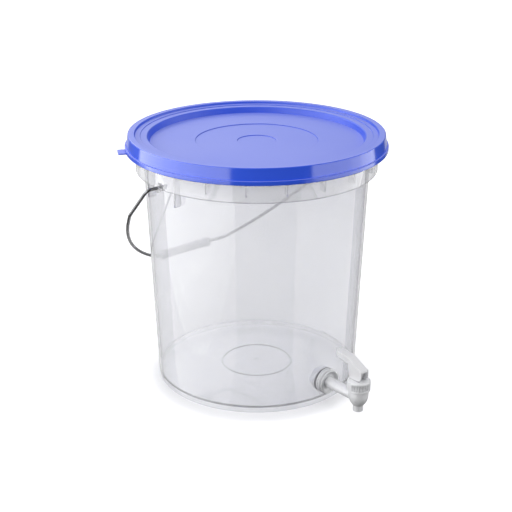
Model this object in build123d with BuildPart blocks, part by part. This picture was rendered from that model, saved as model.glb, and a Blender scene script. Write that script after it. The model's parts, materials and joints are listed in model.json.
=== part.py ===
from build123d import *

import os
from math import acos, atan2, cos, degrees, hypot, radians, sin, tan

os.makedirs("parts", exist_ok=True)

# A clear plastic bucket with a press-on lid, a wire bail with a grip, and a self-closing lever tap.
# Millimetres, +Z up. The origin is the centre of the foot ring, on the surface that it stands on.
# The tap faces -Y. The bail turns about an axis along X and hangs behind the bucket.

# Bucket
bucket_height = 313.5
base_radius = 127.0
wall_draft = 2.3
wall_thickness = 1.8
foot_height = 6.5
foot_thickness = 2.6
foot_round = 1.5
floor_thickness = 2.3
floor_corner_round = 1.6
floor_ring_radius = 44.6
floor_ring_width = 1.8
floor_ring_height = 1.0
gate_radius = 4.0
gate_step = 0.5

# Rim and collar of the bucket
rim_width = 13.8
rim_thickness = 2.4
rim_lip_thickness = 2.0
rim_lip_depth = 9.0
rim_round = 0.8
collar_inset = 5.4
collar_thickness = 1.6
collar_depth = 38.5
web_count = 20
web_thickness = 1.4
web_rise = 7.0

# Ears of the collar, which carry the bail
ear_half_angle = 10.0
ear_web_drop = 16.5
ear_web_thickness = 1.8
ear_lug_radius = 5.8
ear_lug_height = 2.0
pivot_rise = 2.0

# Lid
lid_thickness = 2.0
lid_clearance = 0.9
lid_skirt_depth = 19.5
lid_skirt_flare = 8.0
lid_edge_round = 1.8
lid_bead_depth = 5.2
lid_bead_height = 1.2
lid_rim_width = 8.0
lid_step_slope = 0.8
lid_step_thickness = 1.4
lid_ledge_gap = 0.6
lid_ledge_width = 9.0
lid_ledge_step = 0.8
lid_well_gap = 3.8
lid_well_slope = 14.0
lid_well_depth = 7.6
lid_ring_radius = 74.7
lid_boss_radius = 23.6
lid_ring_step = 0.9
tab_angle = 150.0
tab_length = 9.0
tab_width = 19.0
tab_thickness = 1.6
tab_round = 2.0
gasket_width = 2.4
gasket_height = 3.3
gasket_inset = 1.1

# Bail and grip
wire_diameter = 4.0
bail_lid_gap = 2.0
bail_drop = 203.0
leg_drop = 55.0
leg_bend_radius = 20.0
bow_inset = 27.0
bow_rise = 56.0
bow_share = 0.9
kink_half_span = 60.5
kink_radius = 12.0
ear_bend_radius = 6.0
wire_head_diameter = 7.6
wire_head_length = 2.2
wire_head_gap = 1.5
pivot_clearance = 0.08
grip_length = 85.0
grip_diameter = 11.5
grip_collar_diameter = 13.5
grip_collar_length = 6.0
grip_taper_length = 4.0
grip_end_round = 1.2
grip_rest_gap = 0.4
grip_shift = -13.5

# Tap: where it sits, and its fixing through the wall
tap_height = 30.5
shank_radius = 10.0
shank_clearance = 0.15
shank_bore_radius = 7.5
shank_overhang = 4.0
washer_fit = 0.15
outer_washer_thickness = 3.5
inner_washer_thickness = 2.4
washer_radius = 15.5
washer_step = 1.2
washer_step_depth = 1.6
flange_radius = 15.5
flange_thickness = 6.4
flange_lip_radius = 14.8
flange_lip_thickness = 1.6
flange_groove_width = 1.4
flange_groove_depth = 2.2
flange_round = 0.7
dish_radius = 12.0
dish_depth = 2.6
nut_flange_thickness = 2.0
nut_flange_radius = 15.0
nut_thickness = 5.0
nut_across_flats = 26.0

# Tap: spout tube, valve chamber and nozzle
tube_radius = 7.0
tube_bore_radius = 4.4
tap_projection = 58.5
nozzle_drop = 17.5
nozzle_radius = 6.3
nozzle_length = 7.5
nozzle_bore_radius = 4.0
bulb_radius = 12.0
bulb_rise = 13.5
bulb_band = 6.5
neck_radius = 11.2
neck_length = 11.0
chamber_radius = 9.0
seat_radius = 7.0
seat_ledge = 0.5
seat_taper_rise = 5.0

# Tap: cap, stem, seal and spring
cap_radius = 14.0
cap_top_thickness = 2.5
cap_chamfer = 1.2
cap_thread_clearance = 0.15
knurl_groups = 2
knurl_grooves = 8
knurl_pitch = 13.0
knurl_turn = -32.0
knurl_radius = 1.25
knurl_top_margin = 3.2
knurl_bottom_margin = 3.0
stem_radius = 2.5
stem_clearance = 0.08
stem_flange_radius = 6.0
stem_flange_thickness = 1.5
stem_head_depth = 7.0
stem_head_height = 8.0
stem_head_gap = 0.2
seal_radius = 6.2
seal_height = 4.5
seal_floor = 2.0
seal_chamfer = 0.8
seal_fit = 0.03
spring_wire = 0.9
spring_mean_radius = 4.4
spring_turns = 6.5

# Tap: lever and its pin, measured from the pin
lever_width = 12.5
lever_cheek = 1.75
lever_roof = 2.5
heel_gap = 0.3
pin_height = 6.8
pin_radius = 1.5
pin_clearance = 0.06
pin_fit = 0.02
pin_inset = 0.65
pin_end_gap = 0.15
nose_reach = 9.0
nose_rise = 7.4
heel_reach = 9.5
knee_reach = 14.1
knee_rise = 18.7
knee_round = 8.0
handle_reach = 36.0
handle_rise = 21.5
handle_thickness = 6.8
leg_reach = 13.2
leg_rise = 11.0
cavity_reach = 7.0
lever_edge_round = 1.0

# Levels and radii that follow from those sizes
draft_slope = tan(radians(wall_draft))
wire_radius = wire_diameter / 2


def wall_radius(height):
    return base_radius + height * draft_slope


def inner_radius(height):
    return wall_radius(height) - wall_thickness


floor_level = foot_height + floor_thickness
rim_radius = wall_radius(bucket_height) + rim_width
rim_underside = bucket_height - rim_thickness
collar_radius = rim_radius - collar_inset
collar_inner = collar_radius - collar_thickness
collar_bottom = bucket_height - collar_depth
pivot_height = collar_bottom + pivot_rise
ear_angles = (0, 180)


def radial_plane(angle):
    # Upright plane through the bucket's axis: sketch x is the radius, sketch y the height.
    turn = radians(angle)
    return Plane(origin=(0, 0, 0), x_dir=(cos(turn), sin(turn), 0), z_dir=(sin(turn), -cos(turn), 0))


def ear_plane(angle, reach):
    # Plane across the bail's pivot axis, facing outwards, at that distance from the bucket's axis.
    outward = round(cos(radians(angle)))
    return Plane(origin=(outward * reach, 0, pivot_height), x_dir=(0, outward, 0), z_dir=(outward, 0, 0))


def corner(sketch, x, y):
    return sketch.vertices().sort_by_distance((x, y, 0))[0]


def write(piece, name):
    piece.part.label = name
    export_step(piece.part, f"parts/{name}.step")


# Bucket: a drafted wall on a foot ring, and a rim whose collar hangs round the wall on thin webs.
# At each ear a round lug on the collar holds the bail's hole, between two webs that run further down.
def ear_distance(angle):
    return min(abs((angle - ear + 180) % 360 - 180) for ear in ear_angles)


def draw_web(angle, bottom, thickness):
    top = bucket_height - rim_thickness / 2
    collar_middle = collar_radius - collar_thickness / 2
    with BuildSketch(radial_plane(angle)) as web:
        Polygon(
            (wall_radius(bottom) - wall_thickness / 2, bottom),
            (collar_middle, bottom),
            (collar_middle, top),
            (wall_radius(top) - wall_thickness / 2, top),
            align=None,
        )
    extrude(web.sketch, amount=thickness / 2, both=True)


foot_inner = base_radius - foot_thickness
lip_inner = rim_radius - rim_lip_thickness
lip_bottom = bucket_height - rim_lip_depth
ring_level = floor_level + floor_ring_height
ring_outer = floor_ring_radius + floor_ring_width / 2
ring_inner = floor_ring_radius - floor_ring_width / 2
gate_level = floor_level - gate_step
web_pitch = 360 / web_count
pivot_bore_radius = wire_radius + pivot_clearance
tap_wall = wall_radius(tap_height)

with BuildPart() as bucket:
    with BuildSketch(radial_plane(90)) as bucket_section:
        with BuildLine():
            Polyline(
                (0, foot_height),
                (foot_inner, foot_height),
                (foot_inner, 0),
                (base_radius, 0),
                (wall_radius(rim_underside), rim_underside),
                (collar_inner, rim_underside),
                (collar_inner, collar_bottom),
                (collar_radius, collar_bottom),
                (collar_radius, rim_underside),
                (lip_inner, rim_underside),
                (lip_inner, lip_bottom),
                (rim_radius, lip_bottom),
                (rim_radius, bucket_height),
                (inner_radius(bucket_height), bucket_height),
                (inner_radius(floor_level), floor_level),
                (ring_outer, floor_level),
                (ring_outer, ring_level),
                (ring_inner, ring_level),
                (ring_inner, floor_level),
                (gate_radius, floor_level),
                (gate_radius, gate_level),
                (0, gate_level),
                close=True,
            )
        make_face()
        fillet(corner(bucket_section, base_radius, 0), foot_round)
        fillet(corner(bucket_section, inner_radius(floor_level), floor_level), floor_corner_round)
        fillet(corner(bucket_section, rim_radius, bucket_height), rim_round)
        fillet(corner(bucket_section, inner_radius(bucket_height), bucket_height), rim_round)
    revolve(axis=Axis.Z)
    for step in range(web_count):
        web_angle = web_pitch * (step + 0.5)
        if ear_distance(web_angle) > ear_half_angle:
            draw_web(web_angle, collar_bottom + web_rise, web_thickness)
    for ear in ear_angles:
        for side in (-1, 1):
            draw_web(ear + side * ear_half_angle, collar_bottom - ear_web_drop, ear_web_thickness)
        with BuildSketch(ear_plane(ear, collar_inner)):
            Circle(ear_lug_radius)
        extrude(amount=collar_thickness + ear_lug_height)
        with BuildSketch(ear_plane(ear, wall_radius(pivot_height) + wall_thickness)):
            Circle(pivot_bore_radius)
        extrude(amount=rim_width, mode=Mode.SUBTRACT)
    with BuildSketch(Plane.XZ):
        with Locations((0, tap_height)):
            Circle(shank_radius + shank_clearance)
    extrude(amount=tap_wall + wall_thickness, mode=Mode.SUBTRACT)
write(bucket, "bucket")

# Lid: a flared skirt with a bead, a raised rim that holds the gasket, a ledge and a sunk panel.
# A pull tab stands out from the lower edge of the skirt.
channel_top = bucket_height + gasket_height
lid_top = channel_top + lid_thickness
lid_bottom = lid_top - lid_skirt_depth
lid_inner = rim_radius + lid_clearance
flare_slope = tan(radians(lid_skirt_flare))
well_slope = tan(radians(lid_well_slope))
ledge_underside = bucket_height + lid_ledge_gap
ledge_level = ledge_underside + lid_thickness
inner_ledge_level = ledge_level - lid_ledge_step
panel_level = inner_ledge_level - lid_well_depth
panel_underside = panel_level - lid_thickness
well_wall = lid_thickness / cos(radians(lid_well_slope))
well_outer_top = inner_radius(bucket_height) - lid_well_gap
well_outer_bottom = well_outer_top - (ledge_underside - panel_underside) * well_slope
well_top = well_outer_top - well_wall + (inner_ledge_level - ledge_underside) * well_slope
well_bottom = well_top - lid_well_depth * well_slope


def skirt_outer(height):
    return lid_inner + lid_thickness + (lid_top - height) * flare_slope


def skirt_inner(height):
    return lid_inner + (channel_top - height) * flare_slope


lid_reach = skirt_outer(lid_bottom) + lid_bead_height
bead_top = lid_bottom + lid_bead_depth
lid_rim_inner = skirt_outer(lid_top) - lid_rim_width
channel_inner = lid_rim_inner + lid_step_thickness

with BuildPart() as lid:
    with BuildSketch(Plane.XZ) as lid_section:
        with BuildLine():
            Polyline(
                (0, panel_level - 2 * lid_ring_step),
                (lid_boss_radius, panel_level - 2 * lid_ring_step),
                (lid_boss_radius, panel_level - lid_ring_step),
                (lid_ring_radius, panel_level - lid_ring_step),
                (lid_ring_radius, panel_level),
                (well_bottom, panel_level),
                (well_top, inner_ledge_level),
                (well_top + lid_ledge_width, inner_ledge_level),
                (well_top + lid_ledge_width, ledge_level),
                (lid_rim_inner - lid_step_slope, ledge_level),
                (lid_rim_inner, lid_top),
                (skirt_outer(lid_top), lid_top),
                (skirt_outer(bead_top), bead_top),
                (lid_reach, bead_top - lid_bead_height),
                (lid_reach, lid_bottom),
                (skirt_inner(lid_bottom), lid_bottom),
                (skirt_inner(channel_top), channel_top),
                (channel_inner, channel_top),
                (channel_inner, ledge_underside),
                (well_outer_top, ledge_underside),
                (well_outer_bottom, panel_underside),
                (lid_ring_radius, panel_underside),
                (lid_ring_radius, panel_underside - lid_ring_step),
                (lid_boss_radius, panel_underside - lid_ring_step),
                (lid_boss_radius, panel_underside - 2 * lid_ring_step),
                (0, panel_underside - 2 * lid_ring_step),
                close=True,
            )
        make_face()
        fillet(corner(lid_section, skirt_outer(lid_top), lid_top), lid_edge_round)
        fillet(corner(lid_section, lid_rim_inner, lid_top), lid_edge_round / 2)
        fillet(corner(lid_section, well_top, inner_ledge_level), lid_edge_round / 2)
        fillet(corner(lid_section, well_bottom, panel_level), lid_edge_round)
    revolve(axis=Axis.Z)
    tab_turn = radians(tab_angle)
    tab_plane = Plane(
        origin=(0, 0, lid_bottom), x_dir=(cos(tab_turn), sin(tab_turn), 0), z_dir=(0, 0, 1)
    )
    tab_root = lid_reach - lid_bead_height
    with BuildSketch(tab_plane) as tab_outline:
        with Locations(((tab_root + lid_reach + tab_length) / 2, 0)):
            Rectangle(lid_reach + tab_length - tab_root, tab_width)
        fillet(tab_outline.vertices().group_by(Axis.X)[-1], tab_round)
    extrude(amount=tab_thickness)
write(lid, "lid")

# Gasket: a ring in the lid's raised rim that closes on the bucket's rim
gasket_outer = rim_radius - gasket_inset
with BuildPart() as lid_gasket:
    with BuildSketch(Plane.XY.offset(bucket_height)):
        Circle(gasket_outer)
        Circle(gasket_outer - gasket_width, mode=Mode.SUBTRACT)
    extrude(amount=gasket_height)
write(lid_gasket, "lid_gasket")

# Bail: one wire from ear to ear, with upset heads behind the lugs and a straight middle for the grip.
# Below a straight leg each side bows inwards, on the largest arc that its two runs leave room for.
# The bail hangs at the angle where the middle of the grip comes to rest against the wall.
bail_half_span = lid_reach + bail_lid_gap + wire_radius
bow_half_span = bail_half_span - bow_inset
bow_drop = bail_drop - bow_rise
upper_run = hypot(bow_inset, bow_drop - leg_drop)
lower_run = hypot(bow_half_span - kink_half_span, bow_rise)
upper_lean = atan2(bow_inset, bow_drop - leg_drop)
lower_lean = atan2(bow_half_span - kink_half_span, bow_rise)
bow_radius = bow_share * min(upper_run, lower_run) / tan((lower_lean - upper_lean) / 2)
grip_standoff = grip_diameter / 2 + grip_rest_gap
wall_standoff = base_radius * cos(radians(wall_draft)) + pivot_height * sin(radians(wall_draft))
hang_angle = wall_draft + degrees(acos((grip_standoff + wall_standoff) / bail_drop))
hang = radians(hang_angle)
bail_plane = Plane(origin=(0, 0, pivot_height), x_dir=(1, 0, 0), z_dir=(0, sin(hang), cos(hang)))
head_outer = collar_inner - wire_head_gap
wire_end = head_outer - wire_head_length

with BuildPart() as bail_wire:
    with BuildLine(bail_plane) as bail_path:
        FilletPolyline(
            (wire_end, 0),
            (bail_half_span, 0),
            (bail_half_span, leg_drop),
            (bow_half_span, bow_drop),
            (kink_half_span, bail_drop),
            (-kink_half_span, bail_drop),
            (-bow_half_span, bow_drop),
            (-bail_half_span, leg_drop),
            (-bail_half_span, 0),
            (-wire_end, 0),
            radius=[
                ear_bend_radius,
                leg_bend_radius,
                bow_radius,
                kink_radius,
                kink_radius,
                bow_radius,
                leg_bend_radius,
                ear_bend_radius,
            ],
        )
    with BuildSketch(Plane(origin=bail_path.line @ 0, z_dir=bail_path.line % 0)):
        Circle(wire_radius)
    sweep()
    for ear in ear_angles:
        with BuildSketch(ear_plane(ear, wire_end)):
            Circle(wire_head_diameter / 2)
        extrude(amount=wire_head_length)
write(bail_wire, "bail_wire")

# Grip: a tube with a raised collar at each end, free to turn on the straight middle of the bail
grip_center = (grip_shift, bail_drop * cos(hang), pivot_height - bail_drop * sin(hang))
grip_half = grip_length / 2
grip_waist = grip_half - grip_collar_length - grip_taper_length
grip_plane = Plane(origin=grip_center, x_dir=(1, 0, 0), z_dir=(0, -1, 0))
with BuildPart() as bail_grip:
    with BuildSketch(grip_plane) as grip_section:
        with BuildLine():
            Polyline(
                (-grip_half, pivot_bore_radius),
                (-grip_half, grip_collar_diameter / 2),
                (-grip_half + grip_collar_length, grip_collar_diameter / 2),
                (-grip_waist, grip_diameter / 2),
                (grip_waist, grip_diameter / 2),
                (grip_half - grip_collar_length, grip_collar_diameter / 2),
                (grip_half, grip_collar_diameter / 2),
                (grip_half, pivot_bore_radius),
                close=True,
            )
        make_face()
        for end in (-grip_half, grip_half):
            fillet(corner(grip_section, end, grip_collar_diameter / 2), grip_end_round)
    revolve(axis=Axis(grip_center, (1, 0, 0)))
write(bail_grip, "bail_grip")

# Tap planes: across the tap's axis facing outwards, and upright along it with x as the reach.
# The valve stands upright at the end of the spout tube.
tap_plane = Plane(origin=(0, 0, tap_height), x_dir=(1, 0, 0), z_dir=(0, -1, 0))
side_plane = Plane(origin=(0, 0, 0), x_dir=(0, -1, 0), z_dir=(-1, 0, 0))
valve_reach = tap_wall + tap_projection
valve_plane = Plane(origin=(0, -valve_reach, 0), x_dir=(0, -1, 0), z_dir=(-1, 0, 0))
valve_axis = Axis((0, -valve_reach, 0), (0, 0, 1))
flange_back = tap_wall + outer_washer_thickness
flange_front = flange_back + flange_thickness
lip_back = flange_front - flange_lip_thickness
groove_back = lip_back - flange_groove_width
washer_back = inner_radius(tap_height) - inner_washer_thickness
nut_flange_back = washer_back - nut_flange_thickness
nut_back = nut_flange_back - nut_thickness
shank_end = nut_back - shank_overhang
nozzle_bottom = tap_height - nozzle_drop
nozzle_top = nozzle_bottom + nozzle_length
bulb_level = nozzle_top + bulb_rise
shoulder_level = bulb_level + bulb_band
neck_top = shoulder_level + neck_length
seat_level = tap_height - tube_bore_radius - seat_ledge
cap_top = neck_top + cap_top_thickness
pin_level = cap_top + pin_height


def draw_disc(start, end, radius, mode=Mode.ADD):
    # A round stretch along the tap's axis, from one distance from the bucket's axis to another.
    with BuildSketch(tap_plane.offset(start)) as disc:
        Circle(radius)
    extrude(disc.sketch, amount=end - start, mode=mode)


# Tap body: shank, flange, spout tube, bulb-shaped valve chamber with a neck for the cap, and nozzle.
# The flange is a thick disc and a thinner lip with a groove between them, and its face is dished.
with BuildPart() as tap_body:
    draw_disc(shank_end, flange_back, shank_radius)
    draw_disc(flange_back, groove_back, flange_radius)
    draw_disc(groove_back, lip_back, flange_radius - flange_groove_depth)
    draw_disc(lip_back, flange_front, flange_lip_radius)
    front_edge = tap_body.edges().filter_by(GeomType.CIRCLE).sort_by(Axis.Y)[0]
    fillet(front_edge, flange_round)
    draw_disc(flange_front - dish_depth, flange_front, dish_radius, Mode.SUBTRACT)
    draw_disc(flange_back, valve_reach, tube_radius)
    with BuildSketch(valve_plane):
        with BuildLine():
            Polyline(
                (bulb_radius, bulb_level),
                (bulb_radius, shoulder_level),
                (neck_radius, shoulder_level),
                (neck_radius, neck_top),
                (0, neck_top),
                (0, nozzle_bottom),
                (nozzle_radius, nozzle_bottom),
                (nozzle_radius, nozzle_top),
            )
            TangentArc((bulb_radius, bulb_level), (nozzle_radius, nozzle_top), tangent=(0, -1))
        make_face()
    revolve(axis=valve_axis)
    with BuildSketch(valve_plane):
        Polygon(
            (0, nozzle_bottom),
            (nozzle_bore_radius, nozzle_bottom),
            (nozzle_bore_radius, seat_level),
            (seat_radius, seat_level),
            (chamber_radius, seat_level + seat_taper_rise),
            (chamber_radius, neck_top),
            (0, neck_top),
            align=None,
        )
    revolve(axis=valve_axis, mode=Mode.SUBTRACT)
    draw_disc(shank_end, flange_back, shank_bore_radius, Mode.SUBTRACT)
    draw_disc(flange_back, valve_reach, tube_bore_radius, Mode.SUBTRACT)
write(tap_body, "tap_body")

# Washers: soft rings on both faces of the wall, shaped to its curve, between the flange and the nut.
# The outer one is stepped in where it meets the wall.
washer_bore = shank_radius + shank_clearance
cone_top = tap_height + 2 * washer_radius


def draw_wall_cone(gap, mode):
    # The space inside a surface that follows the wall at that gap.
    with BuildSketch(Plane.XZ) as cone:
        Polygon(
            (0, 0),
            (base_radius + gap, 0),
            (wall_radius(cone_top) + gap, cone_top),
            (0, cone_top),
            align=None,
        )
    revolve(cone.sketch, axis=Axis.Z, mode=mode)


with BuildPart() as outer_washer:
    draw_disc(washer_back, flange_back, washer_radius - washer_step_depth)
    draw_disc(tap_wall + washer_step, flange_back, washer_radius)
    draw_disc(washer_back, flange_back, washer_bore, Mode.SUBTRACT)
    draw_wall_cone(washer_fit, Mode.SUBTRACT)
write(outer_washer, "outer_washer")

with BuildPart() as inner_washer:
    draw_disc(washer_back, tap_wall, washer_radius)
    draw_disc(washer_back, tap_wall, washer_bore, Mode.SUBTRACT)
    draw_wall_cone(-wall_thickness - washer_fit, Mode.INTERSECT)
write(inner_washer, "inner_washer")

# Nut: a hexagon on a round flange, run up the shank from inside the bucket
with BuildPart() as tap_nut:
    draw_disc(nut_flange_back, washer_back, nut_flange_radius)
    with BuildSketch(tap_plane.offset(nut_back)):
        RegularPolygon(nut_across_flats / 2, 6, major_radius=False)
    extrude(amount=nut_thickness)
    draw_disc(nut_back, washer_back, washer_bore, Mode.SUBTRACT)
write(tap_nut, "tap_nut")

# Cap: screwed on the neck, with two groups of finger grooves and a hole for the stem
with BuildPart() as tap_cap:
    with BuildSketch(valve_plane) as cap_section:
        thread_radius = neck_radius + cap_thread_clearance
        Polygon(
            (stem_radius + stem_clearance, neck_top),
            (thread_radius, neck_top),
            (thread_radius, shoulder_level),
            (cap_radius, shoulder_level),
            (cap_radius, cap_top),
            (stem_radius + stem_clearance, cap_top),
            align=None,
        )
        chamfer(corner(cap_section, cap_radius, cap_top), cap_chamfer)
        chamfer(corner(cap_section, cap_radius, shoulder_level), cap_chamfer / 2)
    revolve(axis=valve_axis)
    groove_bottom = shoulder_level + knurl_bottom_margin
    group_spread = knurl_pitch * (knurl_grooves - 1)
    with BuildSketch(Plane.XY.offset(groove_bottom)):
        with Locations((0, -valve_reach)):
            for group in range(knurl_groups):
                group_middle = knurl_turn - 90 + group * 360 / knurl_groups
                with PolarLocations(
                    cap_radius, knurl_grooves, group_middle - group_spread / 2, group_spread, endpoint=True
                ):
                    Circle(knurl_radius)
    extrude(amount=cap_top - knurl_top_margin - groove_bottom, mode=Mode.SUBTRACT)
write(tap_cap, "tap_cap")

# Seal: a soft plug on the foot of the stem that closes the nozzle's seat
stem_foot = seat_level + seal_floor
seal_top = seat_level + seal_height
with BuildPart() as valve_seal:
    with BuildSketch(valve_plane) as seal_section:
        Polygon(
            (0, seat_level),
            (seal_radius, seat_level),
            (seal_radius, seal_top),
            (stem_radius + seal_fit, seal_top),
            (stem_radius + seal_fit, stem_foot),
            (0, stem_foot),
            align=None,
        )
        chamfer(corner(seal_section, seal_radius, seat_level), seal_chamfer)
    revolve(axis=valve_axis)
write(valve_seal, "valve_seal")

# Stem: a rod from the seal up through the cap, with a flange under the spring and a head for the pin
flange_top = seal_top + stem_flange_thickness
head_width = lever_width - 2 * (lever_cheek + stem_head_gap)
with BuildPart() as valve_stem:
    with BuildSketch(valve_plane):
        Polygon(
            (0, stem_foot),
            (stem_radius, stem_foot),
            (stem_radius, seal_top),
            (stem_flange_radius, seal_top),
            (stem_flange_radius, flange_top),
            (stem_radius, flange_top),
            (stem_radius, pin_level),
            (0, pin_level),
            align=None,
        )
    revolve(axis=valve_axis)
    with BuildSketch(side_plane):
        with Locations((valve_reach, pin_level)):
            Rectangle(stem_head_depth, stem_head_height)
    extrude(amount=head_width / 2, both=True)
    fillet(valve_stem.edges().filter_by(Axis.X), stem_head_depth / 4)
    with BuildSketch(side_plane):
        with Locations((valve_reach, pin_level)):
            Circle(pin_radius + pin_fit)
    extrude(amount=head_width, both=True, mode=Mode.SUBTRACT)
write(valve_stem, "valve_stem")

# Spring: pushes the stem's flange down from under the cap
spring_bottom = flange_top + spring_wire / 2
spring_height = neck_top - spring_wire / 2 - spring_bottom
with BuildPart() as valve_spring:
    with BuildLine():
        spring_path = Helix(
            pitch=spring_height / spring_turns,
            height=spring_height,
            radius=spring_mean_radius,
            center=(0, -valve_reach, spring_bottom),
        )
    with BuildSketch(Plane(origin=spring_path @ 0, z_dir=spring_path % 0)):
        Circle(spring_wire / 2)
    sweep(path=spring_path, is_frenet=True)
write(valve_spring, "valve_spring")

# Lever: a hollow leg of two thin cheeks that straddles the stem's head, and a handle over the tube.
# The heel's front corner is an arc about a point ahead of the pin, so that tipping it lifts the stem.
heel_level = cap_top + heel_gap
cam_radius = pin_level - heel_level
cam_center = valve_reach + nose_reach - cam_radius
nose_face = valve_reach + nose_reach
handle_end = valve_reach - handle_reach
handle_top = pin_level + handle_rise
handle_bottom = handle_top - handle_thickness
roof_slope = (knee_rise - nose_rise) / (nose_reach + knee_reach)
cavity_end = valve_reach - cavity_reach


def roof_level(reach):
    return pin_level + nose_rise + (nose_face - reach) * roof_slope - lever_roof


with BuildPart() as tap_lever:
    with BuildSketch(side_plane) as lever_side:
        with BuildLine():
            Polyline(
                (nose_face, pin_level),
                (nose_face, pin_level + nose_rise),
                (valve_reach - knee_reach, pin_level + knee_rise),
                (handle_end, handle_top),
                (handle_end, handle_bottom),
                (valve_reach - leg_reach, pin_level + leg_rise),
                (valve_reach - heel_reach, heel_level),
                (cam_center, heel_level),
            )
            TangentArc((cam_center, heel_level), (nose_face, pin_level), tangent=(1, 0))
        make_face()
        fillet(corner(lever_side, valve_reach - knee_reach, pin_level + knee_rise), knee_round)
    extrude(amount=lever_width / 2, both=True)
    plan_plane = Plane(origin=(0, 0, 0), x_dir=(0, -1, 0), z_dir=(0, 0, 1))
    tip_middle = handle_end + lever_width / 2
    with BuildSketch(plan_plane):
        with Locations((tip_middle, 0)):
            Circle(lever_width / 2)
        with Locations(((tip_middle + nose_face) / 2, 0)):
            Rectangle(nose_face - tip_middle, lever_width)
    extrude(amount=handle_top, mode=Mode.INTERSECT)
    top_faces = tap_lever.faces().filter_by(lambda face: face.normal_at().Z > 0.5)
    fillet(top_faces.edges().filter_by(Axis.X, reverse=True), lever_edge_round)
    with BuildSketch(side_plane):
        Polygon(
            (cavity_end, cap_top),
            (nose_face + lever_roof, cap_top),
            (nose_face + lever_roof, roof_level(nose_face + lever_roof)),
            (cavity_end, roof_level(cavity_end)),
            align=None,
        )
    extrude(amount=lever_width / 2 - lever_cheek, both=True, mode=Mode.SUBTRACT)
    with BuildSketch(side_plane):
        with Locations((valve_reach, pin_level)):
            Circle(pin_radius + pin_clearance)
    extrude(amount=lever_width / 2 - pin_inset + pin_end_gap, both=True, mode=Mode.SUBTRACT)
write(tap_lever, "tap_lever")

# Pin: held in the stem's head, with its ends in blind holes in the lever's cheeks, which turn on them
with BuildPart() as lever_pin:
    with BuildSketch(side_plane):
        with Locations((valve_reach, pin_level)):
            Circle(pin_radius)
    extrude(amount=lever_width / 2 - pin_inset, both=True)
write(lever_pin, "lever_pin")

print(f"hang angle {hang_angle:.2f} degrees, grip centre {grip_center[1]:.2f}, {grip_center[2]:.2f}")
print(f"bail pivot height {pivot_height:.2f}, lid reach {lid_reach:.2f}, lid top {lid_top:.2f}")
print(f"valve reach {valve_reach:.2f}, pin level {pin_level:.2f}, spring top {neck_top:.2f}")
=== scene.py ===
import json
import math

import bmesh
import bpy
from mathutils import Matrix, Vector


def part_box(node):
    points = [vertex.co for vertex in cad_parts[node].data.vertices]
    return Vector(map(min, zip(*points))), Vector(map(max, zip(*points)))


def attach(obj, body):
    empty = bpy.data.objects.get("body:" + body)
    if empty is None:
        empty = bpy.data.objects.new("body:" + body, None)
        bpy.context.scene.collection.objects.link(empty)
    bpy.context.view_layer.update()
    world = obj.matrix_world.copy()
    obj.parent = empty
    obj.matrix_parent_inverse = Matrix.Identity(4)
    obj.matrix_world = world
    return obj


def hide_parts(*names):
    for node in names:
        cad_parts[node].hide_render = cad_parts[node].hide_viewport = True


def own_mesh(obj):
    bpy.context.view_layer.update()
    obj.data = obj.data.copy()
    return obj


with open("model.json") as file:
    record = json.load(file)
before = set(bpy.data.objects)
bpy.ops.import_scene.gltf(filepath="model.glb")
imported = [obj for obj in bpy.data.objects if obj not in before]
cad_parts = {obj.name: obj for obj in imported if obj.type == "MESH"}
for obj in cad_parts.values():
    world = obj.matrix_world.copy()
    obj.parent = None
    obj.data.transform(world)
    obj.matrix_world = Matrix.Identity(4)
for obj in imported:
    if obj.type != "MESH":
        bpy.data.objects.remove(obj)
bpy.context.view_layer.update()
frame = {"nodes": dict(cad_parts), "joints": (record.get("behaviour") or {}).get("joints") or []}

mm = 0.001
quarterTurn = math.pi / 2
joints = {joint["name"]: joint for joint in frame["joints"]}
print("frame loaded:", len(frame["nodes"]), "nodes")


# Meshes

def roundedOutline(corners, closed=False, steps=6):
    # corners are (x, y, rounding) in millimetres, and the outline comes back in metres
    points = []
    last = len(corners) - 1
    for index, (x, y, rounding) in enumerate(corners):
        here = Vector((x, y))
        if rounding <= 0 or (not closed and index in (0, last)):
            points.append(here * mm)
            continue
        toBefore = (Vector(corners[index - 1][:2]) - here).normalized()
        toAfter = (Vector(corners[(index + 1) % len(corners)][:2]) - here).normalized()
        half = toBefore.angle(toAfter) / 2
        centre = here + (toBefore + toAfter).normalized() * (rounding / math.sin(half))
        start = here + toBefore * (rounding / math.tan(half)) - centre
        end = here + toAfter * (rounding / math.tan(half)) - centre
        sweep = -start.angle_signed(end)          # mathutils counts clockwise turns as positive
        for step in range(steps + 1):
            points.append((centre + Matrix.Rotation(sweep * step / steps, 2) @ start) * mm)
    return points


def newPiece(name, bm):
    mesh = bpy.data.meshes.new(name)
    bm.to_mesh(mesh)
    bm.free()
    piece = bpy.data.objects.new(name, mesh)
    bpy.context.scene.collection.objects.link(piece)
    return piece


def revolved(name, outline, segments, closed=False):
    # turns an outline of (radius, height) about the upright axis
    bm = bmesh.new()
    rings = []
    for radius, height in outline:
        turns = [2 * math.pi * (step + 0.5) / segments for step in range(segments)]
        if radius == 0:
            turns = turns[:1]          # one point on the axis
        rings.append([bm.verts.new((radius * math.cos(t), radius * math.sin(t), height)) for t in turns])
    following = rings[1:] + (rings[:1] if closed else [])
    for ring, nextRing in zip(rings, following):
        for step in range(segments):
            after = step + 1
            loop = []
            for vert in (
                ring[step % len(ring)],
                ring[after % len(ring)],
                nextRing[after % len(nextRing)],
                nextRing[step % len(nextRing)],
            ):
                if vert not in loop:
                    loop.append(vert)
            if len(loop) > 2:
                bm.faces.new(loop)
    bmesh.ops.recalc_face_normals(bm, faces=bm.faces)
    return newPiece(name, bm)


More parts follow.
